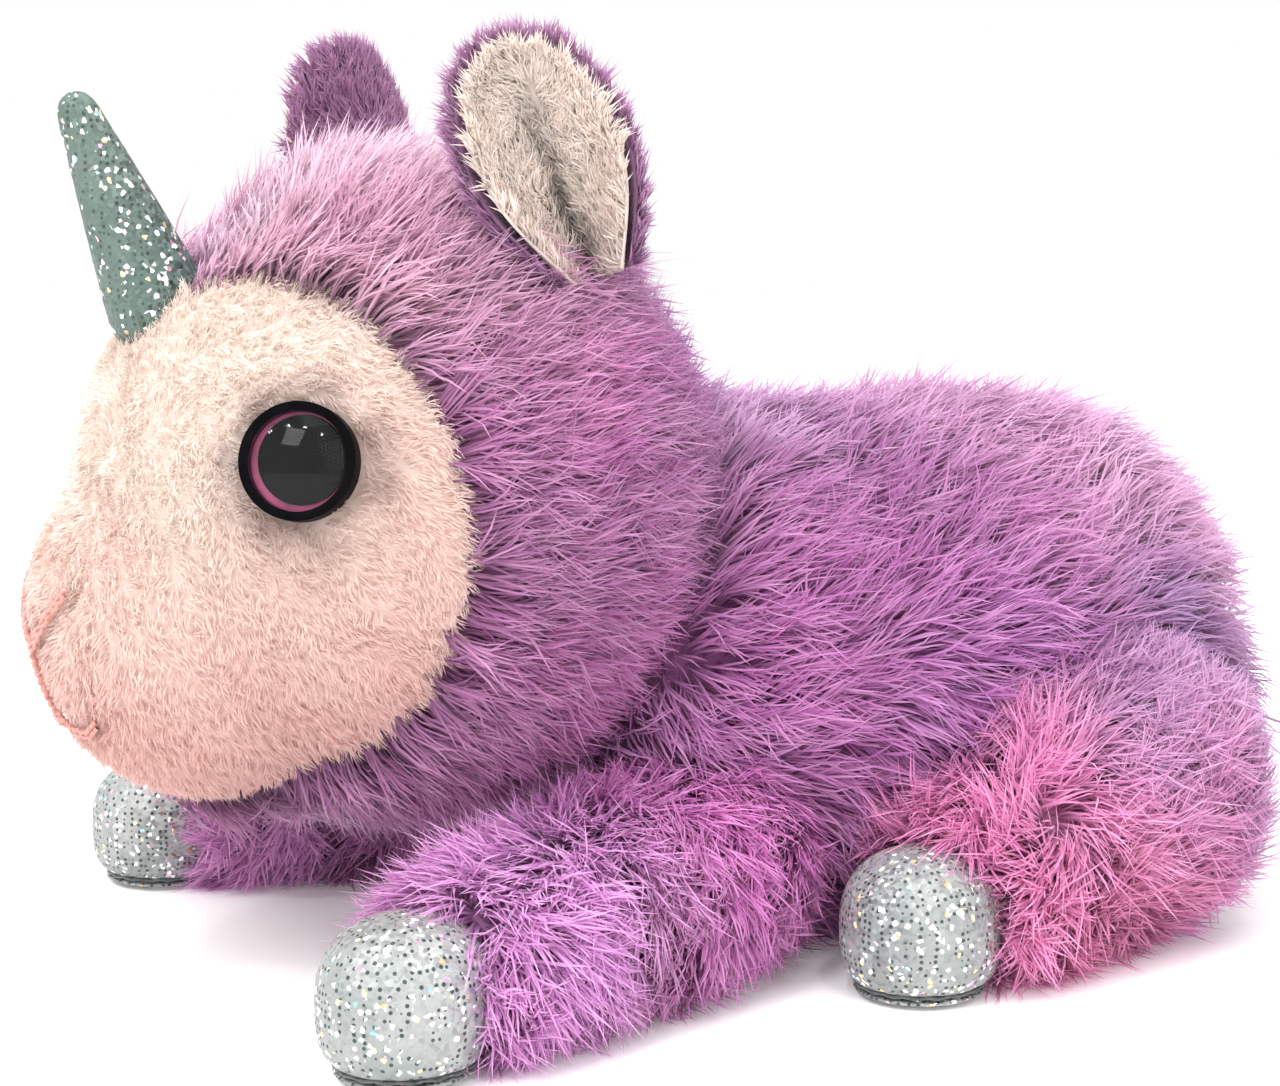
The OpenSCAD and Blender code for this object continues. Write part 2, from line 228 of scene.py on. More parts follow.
def grow(skin, name, count, seed, length, width, lean, comb, paint, clump=9.0,
         pull=0.36, curl=0.13, wild=0.38, fine=3, mask=None, only=None):
    """One piece of fur cloth: the skin mesh with count tapered fibres rooted on it.

    length(p), lean(p) give each fibre's length in mm and its lean in degrees, comb(p, n) the way it
    leans, paint(p) its colour, painted light and shade included. clump is the number of fibres that share
    a tip."""
    rng = np.random.default_rng(seed)
    me = skin.data
    me.calc_loop_triangles()
    tri = np.empty(len(me.loop_triangles) * 3, np.int32)
    me.loop_triangles.foreach_get("vertices", tri)
    tri = tri.reshape(-1, 3)
    co, no = points(skin), facing(skin)
    a, b, c = co[tri[:, 0]], co[tri[:, 1]], co[tri[:, 2]]
    area = np.linalg.norm(np.cross(b - a, c - a), axis=1) / 2
    if mask is not None:
        area = area * mask((a + b + c) / 3)
    if only is not None:
        owner = np.empty(len(tri), np.int32)
        me.loop_triangles.foreach_get("polygon_index", owner)
        area = area * (owner < only)
    pick = rng.choice(len(tri), count, p=area / area.sum())
    u, v = rng.random(count), rng.random(count)
    over = u + v > 1
    u[over], v[over] = 1 - u[over], 1 - v[over]
    w3 = np.stack([1 - u - v, u, v], 1)
    root = (co[tri[pick]] * w3[:, :, None]).sum(1)
    n = (no[tri[pick]] * w3[:, :, None]).sum(1)
    n /= np.linalg.norm(n, axis=1)[:, None]
    way = comb(root, n)
    way = way - n * np.sum(way * n, 1)[:, None]
    way /= np.linalg.norm(way, axis=1)[:, None] + 1e-9
    side = np.cross(n, way)
    tall = length(root) * rng.uniform(0.72, 1.12, count)
    # Fibres share clumps; a clump leans its own way.
    centres = max(8, int(count / clump))
    tree = kdtree.KDTree(centres)
    for i in range(centres):
        tree.insert(root[i], i)
    tree.balance()
    mine = np.array([tree.find(r)[1] for r in root])
    veer = rng.normal(0, wild, centres)[mine] + rng.normal(0, wild * 0.45, count)
    tilt = np.radians(np.clip(lean(root) + rng.normal(0, 9, centres)[mine]
                              + rng.normal(0, 7, count), 4, 86))
    head = way * np.cos(veer)[:, None] + side * np.sin(veer)[:, None]
    steps = np.linspace(0, 1, fine + 1)
    path = []
    for t in steps:
        up = np.cos(tilt) * t * (1 - 0.28 * t)
        out = np.sin(tilt) * (0.72 * t + 0.28 * t * t) + 0.18 * t * t
        q = root + tall[:, None] * (n * up[:, None] + head * out[:, None])
        path.append(q)
    tips = path[-1][:centres][mine]
    bend = rng.normal(0, curl, (count, 3)) * tall[:, None]
    for i, t in enumerate(steps):
        k = pull * t ** 1.6
        path[i] = path[i] * (1 - k) + (root + (tips - root[:centres][mine])
                                       + (root[:centres][mine] - root) * 0.9) * k
        path[i] += bend * (t * t)
        path[i][:, 2] = np.maximum(path[i][:, 2], 0.25)
    path[0] = path[0] - n * 0.4
    roll = rng.normal(0, 0.55, count)
    ribbon = []
    for i in range(fine):
        go = path[i + 1] - path[i]
        go /= np.linalg.norm(go, axis=1)[:, None] + 1e-9
        s = np.cross(go, n)
        s /= np.linalg.norm(s, axis=1)[:, None] + 1e-9
        s = s * np.cos(roll)[:, None] + np.cross(go, s) * np.sin(roll)[:, None]
        half = width / 2 * (1 - 0.25 * i / fine) * (1 if i else 0.9)
        ribbon += [path[i] - s * half, path[i] + s * half]
    ribbon.append(path[fine])
    per = 2 * fine + 1
    verts = np.stack(ribbon, 1).reshape(-1, 3)
    base = np.arange(count)[:, None] * per
    faces = []
    for i in range(fine - 1):
        k = 2 * i
        faces.append(np.concatenate([base + k, base + k + 1, base + k + 3, base + k + 2], 1))
    quads = np.stack(faces, 1).reshape(-1, 4)
    last = 2 * (fine - 1)
    tips3 = np.concatenate([base + last, base + last + 1, base + per - 1], 1)
    # Skin faces come first, then the fibres'.
    loops0 = np.empty(len(me.loops), np.int32)
    me.loops.foreach_get("vertex_index", loops0)
    size0 = np.empty(len(me.polygons), np.int32)
    me.polygons.foreach_get("loop_total", size0)
    skin_n = len(co)
    loops = np.concatenate([loops0, quads.ravel() + skin_n, tips3.ravel() + skin_n])
    sizes = np.concatenate([size0, np.full(len(quads), 4), np.full(len(tips3), 3)])
    made = bpy.data.meshes.new(name)
    made.vertices.add(skin_n + len(verts))
    made.vertices.foreach_set(
        "co", (np.concatenate([co, verts]) * MM).astype(np.float32).ravel())
    made.loops.add(len(loops))
    made.loops.foreach_set("vertex_index", loops.astype(np.int32))
    made.polygons.add(len(sizes))
    made.polygons.foreach_set("loop_start", np.concatenate([[0], np.cumsum(sizes)[:-1]]).astype(np.int32))
    made.polygons.foreach_set("loop_total", sizes.astype(np.int32))
    made.polygons.foreach_set("use_smooth", np.ones(len(sizes), bool))
    made.update(calc_edges=True)
    made.validate()
    # The colour attribute holds the cloth's colour and its painted light and shade together.
    tint = np.concatenate([paint(co), np.repeat(paint(root), per, 0)])
    rgba = np.concatenate([tint, np.ones((len(tint), 1))], 1).astype(np.float32)
    layer = made.attributes.new("dye", "FLOAT_COLOR", "POINT")
    layer.data.foreach_set("color", rgba.ravel())
    t_row = np.concatenate([np.repeat(steps[:-1], 2), [1.0]])
    # The skin takes a reach near a fibre's root, so the painted root shade darkens it.
    reach = np.concatenate([np.full(skin_n, 0.12), np.tile(t_row, count)]).astype(np.float32)
    layer = made.attributes.new("reach", "FLOAT", "POINT")
    layer.data.foreach_set("value", reach)
    own = rng.random(centres)[mine] * 0.6 + rng.random(count) * 0.4
    chance = np.concatenate([np.full(skin_n, 0.5), np.repeat(own, per)]).astype(np.float32)
    layer = made.attributes.new("chance", "FLOAT", "POINT")
    layer.data.foreach_set("value", chance)
    # Every fibre has a cell of its own in the texture layout; the skin lies in a strip.
    cells = int(math.ceil(math.sqrt(count * 1.06)))
    cell = 1.0 / cells
    n_id = np.arange(count)
    cu, cv = (n_id % cells) * cell, (n_id // cells) * cell
    su = np.tile(np.concatenate([np.tile([0.25, 0.75], fine), [0.5]]), (count, 1))
    sv = np.tile(0.12 + 0.76 * t_row, (count, 1))
    uv_f = np.stack([cu[:, None] + su * cell, cv[:, None] + sv * cell], 2).reshape(-1, 2)
    lo, hi = co.min(0), co.max(0)
    top = (count // cells + 1) * cell
    uv_s = np.stack([(co[:, 1] - lo[1]) / (hi[1] - lo[1]),
                     top + (1 - top) * (co[:, 2] - lo[2]) / (hi[2] - lo[2])], 1)
    uv_all = np.concatenate([uv_s, uv_f])[loops].astype(np.float32)
    uv = made.uv_layers.new(name="OFBake")
    uv.data.foreach_set("uv", uv_all.ravel())
    ob = bpy.data.objects.new(name, made)
    bpy.context.collection.objects.link(ob)
    bpy.data.objects.remove(skin)
    return ob


def add(tree, kind, links=None, **settings):
    """Adds a shader node. settings are its properties or, with a leading _, its inputs."""
    node = tree.nodes.new(kind)
    for key, value in settings.items():
        if key.startswith("_"):
            socket = int(key[1:]) if key[1:].isdigit() else key[1:].replace("_", " ")
            node.inputs[socket].default_value = value
        else:
            setattr(node, key, value)
    for socket, source in (links or {}).items():
        tree.links.new(source, node.inputs[socket])
    return node


def material(name):
    m = bpy.data.materials.new(name)
    m.use_nodes = True
    m.node_tree.nodes.clear()
    return m, m.node_tree


def ramp(tree, source, *stops):
    node = add(tree, "ShaderNodeValToRGB", {0: source})
    e = node.color_ramp.elements
    while len(e) < len(stops):
        e.new(1.0)
    for stop, (place, code) in zip(e, stops):
        stop.position = place
        stop.color = (*colour(code), 1) if isinstance(code, str) else (code, code, code, 1)
    return node


def pile_material(name, root_shade, tip_highlight, soft, sheen, low=0.80, high=1.14):
    """Dyed polyester pile with painted light: painted shade darkens it towards the roots and a painted
    highlight pales the tips.
    """
    m, t = material(name)
    dyed = add(t, "ShaderNodeAttribute", attribute_name="dye")
    reach = add(t, "ShaderNodeAttribute", attribute_name="reach")
    chance = add(t, "ShaderNodeAttribute", attribute_name="chance")
    # Painted shade: each fibre darkens towards its root, and the skin under the fibres is darkened too.
    shade = ramp(t, reach.outputs["Fac"], (0.0, root_shade), (0.55, 0.80), (1.0, 1.0))
    shaded = add(t, "ShaderNodeMix", {6: dyed.outputs["Color"], 7: shade.outputs["Color"]},
                 data_type="RGBA", blend_type="MULTIPLY", _0=1.0)
    spread = add(t, "ShaderNodeMapRange", {0: chance.outputs["Fac"]}, _3=low, _4=high)
    varied = add(t, "ShaderNodeMix", {6: shaded.outputs[2], 7: spread.outputs[0]},
                 data_type="RGBA", blend_type="MULTIPLY", _0=1.0)
    # Painted highlight: fibre tips are paled towards white, more on some fibres than on others.
    pale = add(t, "ShaderNodeMath", {0: reach.outputs["Fac"], 1: chance.outputs["Fac"]},
               operation="MULTIPLY")
    tip = add(t, "ShaderNodeMath", {0: pale.outputs[0]}, operation="MULTIPLY", _1=tip_highlight)
    tipped = add(t, "ShaderNodeMix", {0: tip.outputs[0], 6: varied.outputs[2]},
                 data_type="RGBA", _7=(1.0, 0.93, 0.97, 1))
    skin = add(t, "ShaderNodeBsdfPrincipled", {"Base Color": tipped.outputs[2]},
               _Roughness=0.78, _Sheen_Weight=sheen, _Sheen_Roughness=0.5)
    through = add(t, "ShaderNodeBsdfTranslucent", {"Color": tipped.outputs[2]})
    both = add(t, "ShaderNodeMixShader", {1: skin.outputs[0], 2: through.outputs[0]}, _0=soft)
    add(t, "ShaderNodeOutputMaterial", {0: both.outputs[0]})
    return m


# Long pile: soft, fluffy fibres, dark mauve in the gaps from painted shade and milky pink at the ends
# from a painted highlight.
long_pile = pile_material("long pile polyester fur", 0.42, 0.36, 0.34, 0.25)

# Patches of the tie-dyeing with painted light and painted shade mixed into their colours; the top of the
# back is painted paler.
TORSO_DYE_AND_PAINTED_LIGHT = both_sides([
    ((0, 0, 78), 26, "#EBC4EC"), ((10, 30, 78), 24, "#DDA6D2"), ((0, 62, 74), 30, "#F0CCE8"),
    ((30, 8, 66), 22, "#AB49A1"), ((38, 34, 58), 24, "#CF73BE"), ((28, 58, 62), 24, "#EDB9DD"),
    ((20, 84, 56), 28, "#DDB6D6"), ((34, 84, 34), 26, "#C9A6C6"), ((44, 44, 44), 15, "#9959BB"),
    ((42, 62, 42), 15, "#9367AD"), ((42, 20, 40), 20, "#CD76CF"), ((40, 4, 30), 20, "#BF5EB5"),
    ((36, -6, 46), 20, "#CF66C1"), ((14, -30, 26), 20, "#FCB2FC"), ((-16, -28, 22), 20, "#9A6080"),
])


def torso_paint(p):
    return dye(p, TORSO_DYE_AND_PAINTED_LIGHT, "#C26CB4", 11)


def torso_comb(p, n):
    """The body's pile lies back towards the rump and a little down the flanks."""
    way = np.zeros_like(p)
    way[:, 1] = 1.0
    way[:, 2] = np.where(p[:, 2] > 45, 0.35, -0.35)
    way[:, 2] -= 0.5 * np.clip((p[:, 1] - 60) / 30, 0, 1)
    way[:, 0] = 0.25 * np.sign(p[:, 0])
    way += drift(p, 24, 31) * 0.45
    return way


def halves(skin):
    """Splits a skin at the middle seam. Returns its left and right half."""
    right = skin.copy()
    right.data = skin.data.copy()
    bpy.context.collection.objects.link(right)
    for ob, outer in ((skin, False), (right, True)):
        bm = bmesh.new()
        bm.from_mesh(ob.data)
        bmesh.ops.bisect_plane(
            bm, geom=bm.verts[:] + bm.edges[:] + bm.faces[:], plane_co=(0, 0, 0),
            plane_no=(1, 0, 0), clear_inner=not outer, clear_outer=outer)
        bm.to_mesh(ob.data)
        bm.free()
    return skin, right


SHARE = 1.0


def fibres(n):
    return int(n * SHARE)


left, right = halves(torso)
for skin, side, near in ((left, "left", 1.0), (right, "right", 0.8)):
    fur = grow(skin, f"torso_fur_{side}", fibres(36000 * near), 5 if near == 1 else 6,
               lambda p: 11.5 + smooth_noise(p, 30, 3) * 1.2, 0.36,
               lambda p: 46 + smooth_noise(p, 22, 4) * 10, torso_comb, torso_paint)
    fur.data.materials.append(long_pile)
    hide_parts(f"torso_cover_{side}")
    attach(fur, "torso")

# Each leg is a sewn tube of the same fur, closed at the body end and stuffed, with a
# glitter-cloth hoof sewn on at the ankle.
# Patches of the tie-dyeing with painted light and painted shade mixed into their colours.
FRONT_DYE_AND_PAINTED_LIGHT = [((50, -50, 20), 22, "#FCBAFC"), ((36, -20, 26), 22, "#EF76DB"),
             ((44, -36, 8), 16, "#9B4285"), ((50, -22, 18), 14, "#E58AD5")]
BACK_DYE_AND_PAINTED_LIGHT = [((54, 18, 20), 20, "#FF8FD0"), ((60, 34, 26), 20, "#F3A6DA"),
            ((48, 50, 42), 20, "#C496C8"), ((52, 70, 30), 22, "#CAA6C8"),
            ((60, 30, 8), 18, "#F088B4")]


# How far the root of a leg is drawn in towards its hoof and slimmed, in mm.
ROOT_SHIFT = {"front": 0.0, "back": 3.0}
ROOT_SLIM = {"front": 0.0, "back": 1.8}


def leg_skin(kind, side):
    a, b, way, r = leg_ends(kind, side)
    parts = []
    steps = 7
    stop = 1 - 8.6 / LEGS[kind][3]
    for i in range(steps):
        t = i / (steps - 1) * stop
        c = a + (b - a) * t + way * ROOT_SHIFT[kind] * (1 - t)
        rr = r + (HOOF_R - r) * t - SKIN_IN - ROOT_SLIM[kind] * (1 - t)
        parts.append(ball(c, (rr, rr, rr), rings=16))
    ob = melt(f"{kind}_leg_skin", parts, 2.2, 8)
    p = points(ob)
    # The tube ends flat at the ankle seam, just inside the hoof's cuff.
    over = (p - b) @ way + 8.6
    p -= np.maximum(over, 0)[:, None] * way
    p[:, 2] = np.maximum(p[:, 2], 0.8)
    put_points(ob, p)
    return ob, a, b, way


for kind, dyes, amount in (("front", FRONT_DYE_AND_PAINTED_LIGHT, 22000), ("back", BACK_DYE_AND_PAINTED_LIGHT, 26000)):
    for side, word in ((1, "left"), (-1, "right")):
        skin, a, b, way = leg_skin(kind, side)
        patches = [((x * side, y, z), r, c) for (x, y, z), r, c in dyes]

        def leg_comb(p, n, a=a, way=way, side=side, kind=kind):
            ahead = np.clip(((p - a) @ way - 30) / 12, -1, 1) if kind == "back" else 0.7 + 0 * p[:, 0]
            go = way * (0.75 * ahead)[:, None]
            go[:, 2] += 0.2 if kind == "back" else -0.3
            go[:, 0] += 0.45 * side
            go += drift(p, 13, 51) * 0.9
            return go

        def leg_length(p, a=a, way=way):
            return 7.0 + 4.0 * np.clip(((p - a) @ way + 16) / 30, 0, 1)

        def leg_lean(p, a=a, way=way):
            return 66.0 - 24.0 * np.clip(((p - a) @ way + 16) / 30, 0, 1)

        fur = grow(skin, f"{kind}_leg_{word}_fur", fibres(amount), 7, leg_length,
                   0.36, leg_lean, leg_comb,
                   lambda p, d=patches, s=kind: dye(p, d, "#D072BE", 21), wild=0.6)
        fur.data.materials.append(long_pile)
        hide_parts(f"{kind}_leg_{word}_cover")
        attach(fur, f"{kind}_leg_{word}")

# The hooves are little bags of silver glitter cloth, stuffed round and closed by a flat
# sole of the same cloth sewn on with dark thread.


def glitter_material(name, tone, warm):
    """Silver foil-dot cloth: rows of dark pin dots and foil flakes that catch the light."""
    m, t = material(name)
    where = add(t, "ShaderNodeTexCoord").outputs["Object"]
    dots = add(t, "ShaderNodeTexVoronoi", {"Vector": where}, _Scale=1080.0, _Randomness=0.3)
    flakes = add(t, "ShaderNodeTexVoronoi", {"Vector": where}, _Scale=1700.0, _Randomness=1.0)
    cloud = add(t, "ShaderNodeTexNoise", {"Vector": where}, _Scale=90.0, _Detail=3.0)
    base = ramp(t, cloud.outputs["Fac"], (0.3, tone), (0.75, warm))
    luck = add(t, "ShaderNodeSeparateColor", {0: dots.outputs["Color"]})
    near = add(t, "ShaderNodeMath", {0: dots.outputs["Distance"]}, operation="LESS_THAN", _1=0.30)
    some = add(t, "ShaderNodeMath", {0: luck.outputs[0]}, operation="LESS_THAN", _1=0.86)
    dot = add(t, "ShaderNodeMath", {0: near.outputs[0], 1: some.outputs[0]}, operation="MULTIPLY")
    dotted = add(t, "ShaderNodeMix", {0: dot.outputs[0], 6: base.outputs["Color"]},
                 data_type="RGBA", _7=(*colour("#3F4D4A"), 1))
    pick = add(t, "ShaderNodeSeparateColor", {0: flakes.outputs["Color"]})
    foil = ramp(t, pick.outputs[1], (0.0, "#F4F6F4"), (0.55, "#FFFFFF"), (0.7, "#FFE7B0"),
                (0.82, "#F6C8E4"), (0.92, "#BFF0F4"))
    foil.color_ramp.interpolation = "CONSTANT"
    bright = add(t, "ShaderNodeMath", {0: pick.outputs[0]}, operation="GREATER_THAN", _1=0.89)
    face = add(t, "ShaderNodeMix", {0: bright.outputs[0], 6: dotted.outputs[2],
                                    7: foil.outputs["Color"]}, data_type="RGBA")
    tilt = add(t, "ShaderNodeVectorMath", {0: flakes.outputs["Color"]}, operation="SUBTRACT",
               _1=(0.5, 0.5, 0.5))
    bent = add(t, "ShaderNodeVectorMath", {0: tilt.outputs[0]}, operation="SCALE", _Scale=0.9)
    normal = add(t, "ShaderNodeNewGeometry").outputs["Normal"]
    joined = add(t, "ShaderNodeVectorMath", {0: normal, 1: bent.outputs[0]}, operation="ADD")
    unit = add(t, "ShaderNodeVectorMath", {0: joined.outputs[0]}, operation="NORMALIZE")
    rough = add(t, "ShaderNodeMapRange", {0: bright.outputs[0]}, _3=0.5, _4=0.14)
    metal = add(t, "ShaderNodeMapRange", {0: bright.outputs[0]}, _3=0.25, _4=0.9)
    cloth = add(t, "ShaderNodeBsdfPrincipled", {
        "Base Color": face.outputs[2], "Roughness": rough.outputs[0],
        "Metallic": metal.outputs[0], "Normal": unit.outputs[0]})
    add(t, "ShaderNodeOutputMaterial", {0: cloth.outputs[0]})
    return m


silver_cloth = glitter_material("silver foil-dot cloth", "#8C9291", "#B3B4B3")
horn_cloth = glitter_material("grey-green foil-dot cloth", "#4D635D", "#68786F")


def puff(ob, voxel, pressure, most, hold=None):
    """Stuffs a bag: pressure blows the cloth out and it wrinkles, at most `most` mm."""
    m = ob.modifiers.new("even", "REMESH")
    m.mode, m.voxel_size = "VOXEL", voxel * MM
    apply_all(ob)
    before = points(ob)
    if hold is not None:
        group = ob.vertex_groups.new(name="held")
        group.add([int(i) for i in np.nonzero(hold(before))[0]], 1.0, "REPLACE")
    c = ob.modifiers.new("cloth", "CLOTH")
    c.settings.use_pressure = True
    c.settings.uniform_pressure_force = pressure
    c.settings.effector_weights.gravity = 0
    c.settings.quality = 6
    c.settings.shrink_min = -0.03
    if hold is not None:
        c.settings.vertex_group_mass = "held"
    for f in range(1, 21):
        bpy.context.scene.frame_set(f)
        bpy.context.view_layer.update()
    alone(ob)
    bpy.ops.object.convert(target="MESH")
    bpy.context.scene.frame_set(1)
    after = points(ob)
    move = after - before
    size = np.linalg.norm(move, axis=1)[:, None] + 1e-9
    put_points(ob, before + move * np.minimum(1, most / size))
    s = ob.modifiers.new("even out", "SMOOTH")
    s.factor, s.iterations = 0.5, 3
    d = ob.modifiers.new("fine", "SUBSURF")
    d.levels = d.render_levels = 1
    apply_smooth(ob)


def thread(name, path, radius, close=False):
    """A sewn thread along a path of points in millimetres."""
    curve = bpy.data.curves.new(name, "CURVE")
    curve.dimensions = "3D"
    s = curve.splines.new("POLY")
    s.points.add(len(path) - 1)
    for q, w in zip(s.points, path):
        q.co = (*[float(x) * MM for x in w], 1)
    s.use_cyclic_u = close
    curve.bevel_depth, curve.bevel_resolution = radius * MM, 2
    ob = bpy.data.objects.new(name, curve)
    bpy.context.collection.objects.link(ob)
    apply_smooth(ob)
    return ob


def thread_material(name, code, dark):
    """Twisted polyester thread, a soft satin with a fine diagonal twist."""
    m, t = material(name)
    where = add(t, "ShaderNodeTexCoord").outputs["Object"]
    twist = add(t, "ShaderNodeTexNoise", {"Vector": where}, _Scale=1400.0, _Detail=2.0)
    tone = ramp(t, twist.outputs["Fac"], (0.3, dark), (0.7, code))
    s = add(t, "ShaderNodeBsdfPrincipled", {"Base Color": tone.outputs["Color"]}, _Roughness=0.6,
            _Sheen_Weight=0.3)
    add(t, "ShaderNodeOutputMaterial", {0: s.outputs[0]})
    return m


dark_thread = thread_material("dark sewing thread", "#5E6262", "#33383A")


def loaf(half, radius, square):
    """An upright ball squared off by different amounts below and above its middle."""
    ob = ball((0, 0, 0), (1, 1, 1), rings=32)
    p = points(ob)
    long = np.clip(p[:, 2], -1, 1)
    across = p[:, :2]
    r = np.linalg.norm(across, axis=1) + 1e-9
    square = np.where(long < 0, square[0], square[1])
    across *= (radius * np.abs(np.cos(np.arcsin(long))) ** (2 / square) / r)[:, None]
    p[:, 2] = half * np.sign(long) * np.abs(long) ** (2 / square)
    put_points(ob, p)
    return ob


for kind in LEGS:
    for side, word in ((1, "left"), (-1, "right")):
        _, b, way, _ = leg_ends(kind, side)
        flat = np.array([way[0], way[1], 0.0])
        flat /= np.linalg.norm(flat)
        yaw = math.degrees(math.atan2(flat[1], flat[0]))
        bag = loaf(9.8, 10.9, (3.9, 2.2))
        bag.scale = (1.04, 0.98, 1)
        bag.rotation_euler = (0, 0, math.radians(yaw))
        bag.location = [float(x) * MM for x in (b + flat * 0.3 + [0, 0, 0.4])]
        apply_all(bag)
        bag.name = bag.data.name = f"{kind}_hoof_{word}_bag"
        p = points(bag)
        p[:, 2] = np.where(p[:, 2] < 1.7, 1.7 + (p[:, 2] - 1.7) * 0.05, p[:, 2])
        put_points(bag, p)
        puff(bag, 1.1, 4.0, 0.5, lambda q: q[:, 2] < 2.2)
        p = points(bag)
        p[:, 2] = np.maximum(p[:, 2], 1.5)
        put_points(bag, p)
        bag.data.materials.append(silver_cloth)
        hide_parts(f"{kind}_hoof_{word}")
        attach(bag, f"{kind}_leg_{word}")
        # The sole: a flat oval pad just under the bag, its edge sewn to it.
        sole = loaf(1.0, 9.0, (2.0, 2.0))
        sole.scale = (1.05, 0.99, 1)
        sole.rotation_euler = (0, 0, math.radians(yaw))
        sole.location = [float(x) * MM for x in (b[0] + flat[0] * 0.3, b[1] + flat[1] * 0.3, 1.0)]
        apply_smooth(sole)
        sole.name = sole.data.name = f"{kind}_sole_{word}_pad"
        sole.data.materials.append(silver_cloth)
        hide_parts(f"{kind}_sole_{word}")
        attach(sole, f"{kind}_leg_{word}")
        ring = []
        for i in range(72):
            q = 2 * math.pi * i / 72
            across = np.array([-flat[1], flat[0], 0])
            ring.append(b * [1, 1, 0] + flat * (0.3 + 9.3 * math.cos(q))
                        + across * 8.8 * math.sin(q) + np.array([0, 0, 1.9 + 0.12 * math.sin(18 * q)]))
        seam = thread(f"{kind}_hoof_{word}_seam", ring, 0.26, True)
        seam.data.materials.append(dark_thread)
        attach(seam, f"{kind}_leg_{word}")

# The head is one stuffed ball with a bulging muzzle. Its front is short cream velboa and
# the hood behind the face seam is the same long fur as the body.
head = melt("head_skin", [
    ball(HEAD, (43.0, 43.0, 43.0), rings=40),
    ball(MUZZLE, (26.4, 26.4, 26.0), rings=32),
    ball(MUZZLE + [0, 6, 6], (29, 24, 24), rings=32),
], 1.6, 24)


def cheek_way(side):
    az, el = math.radians(34 * side), math.radians(-3)
    return np.array([math.sin(az) * math.cos(el), -math.cos(az) * math.cos(el), math.sin(el)])


def face_reach(p):
    """Above 0 in front of the face seam: millimetres past the seam's plane."""
    v = p - HEAD
    return np.maximum(v @ cheek_way(1), v @ cheek_way(-1)) - 44 * math.cos(math.radians(50))


hood = head.copy()
hood.data = head.data.copy()
bpy.context.collection.objects.link(hood)
for ob, keep_face in ((head, True), (hood, False)):
    reach = face_reach(points(ob))
    bm = bmesh.new()
    bm.from_mesh(ob.data)
    bm.verts.ensure_lookup_table()
    gone = [bm.verts[i] for i in np.nonzero(reach < -1.2 if keep_face else reach > 1.2)[0]]
    bmesh.ops.delete(bm, geom=gone, context="VERTS")
    bm.to_mesh(ob.data)
    bm.free()
p = points(hood)
n = facing(hood)
put_points(hood, p - n * (1.6 * np.clip((-face_reach(p)) / 4, 0, 1))[:, None])

# Patches of the tie-dyeing with painted light and painted shade mixed into their colours; the top of the
# hood is painted near white.
HOOD_DYE_AND_PAINTED_LIGHT = both_sides([
    ((0, -62, 112), 26, "#FCE2ED"), ((0, -36, 112), 24, "#EDC4E0"), ((22, -70, 100), 16, "#FBC8DA"),
    ((30, -52, 98), 18, "#C387AC"), ((38, -44, 84), 18, "#D86DC0"), ((42, -30, 66), 22, "#9B4191"),
    ((38, -36, 44), 20, "#CF65B9"), ((28, -34, 34), 18, "#DE62C9"), ((24, -12, 90), 22, "#A763A6"),
    ((0, -8, 86), 24, "#D387DD"), ((0, -60, 26), 18, "#AF88A6"),
])


def hood_paint(p):
    return dye(p, HOOD_DYE_AND_PAINTED_LIGHT, "#B668A6", 12)


def hood_comb(p, n):
    """The hood's pile is brushed away from the face all round."""
    v = p - HEAD
    way = v * [1.0, 0.2, 1.0]
    way = way / (np.linalg.norm(way, axis=1)[:, None] + 1e-9)
    way[:, 1] += 1.15
    way[:, 2] -= 0.35 * np.clip(-v[:, 2] / 30, 0, 1)
    way += drift(p, 20, 71) * 0.4
    return way


HORN = HEAD + 41.5 * np.array([0, -math.cos(math.radians(40)), math.sin(math.radians(40))])


def off_horn(p):
    return np.where(np.linalg.norm(p - HORN, axis=1) < 9.5, 0.0, 1.0)


def hood_length(p):
    near_horn = np.clip((np.linalg.norm(p - HORN, axis=1) - 9) / 14, 0.35, 1)
    return (11.0 + 3.5 * np.clip((p[:, 2] - 90) / 20, 0, 1)) * near_horn


left, right = halves(hood)
for skin, side, near in ((left, "left", 1.0), (right, "right", 0.8)):
    fur = grow(skin, f"hood_fur_{side}", fibres(36000 * near), 8 if near == 1 else 9,
               hood_length, 0.36, lambda p: 40 - 8 * np.clip((p[:, 2] - 90) / 20, 0, 1),
               hood_comb, hood_paint, mask=off_horn)
    fur.data.materials.append(long_pile)
    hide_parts(f"hood_{side}")
    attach(fur, "head")

# The face: one piece of short velboa from brow to chin, pale cream above and peach below, with painted
# shade along the nose and mouth stitches and a darker brown ring round each eye.
# The velboa gets only a little painted root shade and painted tip highlight.
short_pile = pile_material("short pile velboa", 0.93, 0.16, 0.34, 0.25, 0.95, 1.06)


def even(value):
    """The same value for every fibre."""
    return lambda p: value + 0 * p[:, 0]


def turned(az, el):
    a, e = math.radians(az), math.radians(el)
    return np.array([math.sin(a) * math.cos(e), -math.cos(a) * math.cos(e), math.sin(e)])


# Each eye's bearing and height seen from the middle of the head, in degrees.
EYE_AZ = 55
EYE_EL = 11
SEAMS = {
    "nose_stitch": [[(0, -8), (9, -1), (17, 6), (22, 11)], [(0, -8), (-9, -1), (-17, 6), (-22, 11)],
                    [(0, -8), (0, -18), (0, -27)]],
    "mouth_stitch": [[(0, -28), (9, -33), (19, -33), (27, -28)],
                     [(0, -28), (-9, -33), (-19, -33), (-27, -28)]],
}


